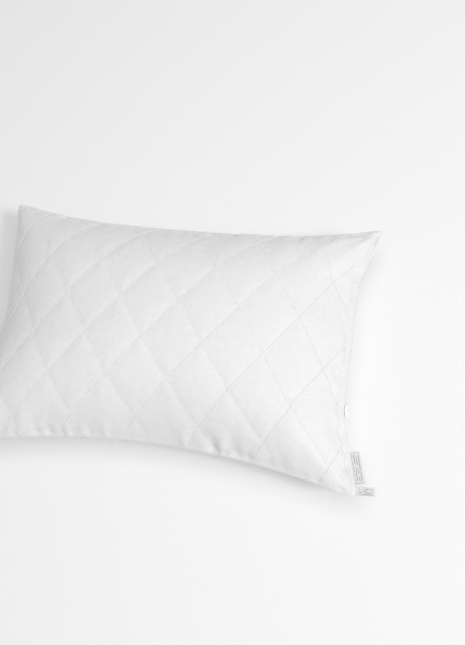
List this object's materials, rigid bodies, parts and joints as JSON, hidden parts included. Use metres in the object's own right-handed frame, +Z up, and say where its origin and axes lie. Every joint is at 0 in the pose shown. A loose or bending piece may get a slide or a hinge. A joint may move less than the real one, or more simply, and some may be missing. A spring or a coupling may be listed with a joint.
{
  "type": "bed pillow",
  "caption": "Quilted bed pillow: two wadded panels sewn round the edge, loose fibre filling, and a short zip in one short side.",
  "frame": {"origin": "centre of the patch of the underside that the pillow rests on", "axes": "+X along the pillow's length, towards the short side with the zip; +Y across its width; +Z up, out of the upper quilted face"},
  "size_m": [0.618, 0.4, 0.1605],
  "materials": {
    "outer_fabric": "white brushed microfibre, satin",
    "wadding": "white polyester wadding, matt",
    "backing": "white non-woven backing, matt",
    "filling": "loose white polyester fibre",
    "thread": "white polyester sewing thread",
    "zip_tape": "woven white polyester tape",
    "zip_coil": "white nylon coil",
    "zip_metal": "nickel-plated zinc, satin",
    "label": "white satin ribbon"
  },
  "bodies": {
    "pillow": {"top_panel_fabric": "outer_fabric", "bottom_panel_fabric": "outer_fabric", "top_panel_wadding": "wadding", "bottom_panel_wadding": "wadding", "top_panel_backing": "backing", "bottom_panel_backing": "backing", "fibre_filling": "filling", "seam_allowance": "outer_fabric", "overlock_thread": "thread", "seam_stitching": "thread", "top_quilting_thread": "thread", "bottom_quilting_thread": "thread", "zip_tape_upper": "zip_tape", "zip_tape_lower": "zip_tape", "zip_coil_upper": "zip_coil", "zip_coil_lower": "zip_coil", "zip_end_tacks": "thread", "zip_topstitch_upper": "thread", "zip_topstitch_lower": "thread", "care_label": "label", "size_label": "label"},
    "slider": {"zip_slider": "zip_metal"},
    "pull": {"zip_pull": "zip_metal"}
  },
  "joints": [
    {"name": "zip_slide", "type": "slide", "parent": "pillow", "child": "slider", "axis": [0, 1, 0], "range_m": [0, 0.178]},
    {"name": "pull_swing", "type": "hinge", "parent": "slider", "child": "pull", "pos_m": [0.27225, -0.089, 0.072], "axis": [0, 0, -1], "range_deg": [0, 150]}
  ]
}
